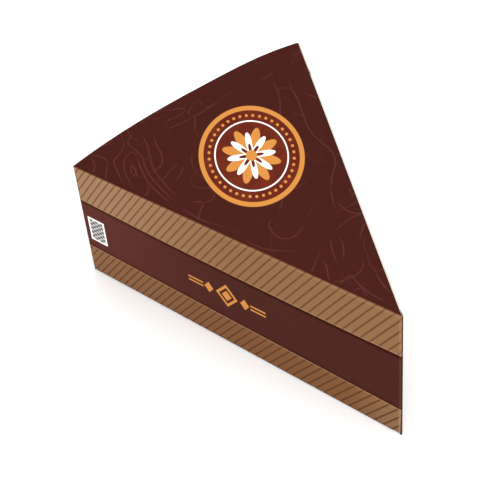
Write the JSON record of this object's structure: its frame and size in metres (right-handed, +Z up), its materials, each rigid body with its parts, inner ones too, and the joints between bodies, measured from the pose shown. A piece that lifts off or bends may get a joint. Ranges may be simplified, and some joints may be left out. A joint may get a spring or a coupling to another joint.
{
  "type": "pie box",
  "caption": "Wedge-shaped folding paperboard box for one slice of pie, with a gently curved back and a tuck-in lid hinged along one straight wall.",
  "frame": {"origin": "under the middle of the closed box's bounding box, on the surface it stands on", "axes": "+Z up, +Y from the pointed tip towards the curved back, -X towards the wall that carries the lid hinge"},
  "size_m": [0.0982, 0.1284, 0.0632],
  "materials": {
    "wall_print": "satin print on solid board, brown middle band between two tan bands with fine diagonal stripes, bare white inside",
    "lid_print": "satin dark brown print on solid board, bare white inside"
  },
  "bodies": {
    "carton": {"carton_body": "wall_print"},
    "lid": {"lid": "lid_print"}
  },
  "joints": [
    {"name": "lid_hinge", "type": "hinge", "parent": "carton", "child": "lid", "pos_m": [-0.02562, -0.0001, 0.06255], "axis": [0.3649, -0.9311, 0], "range_deg": [0, 150]}
  ]
}
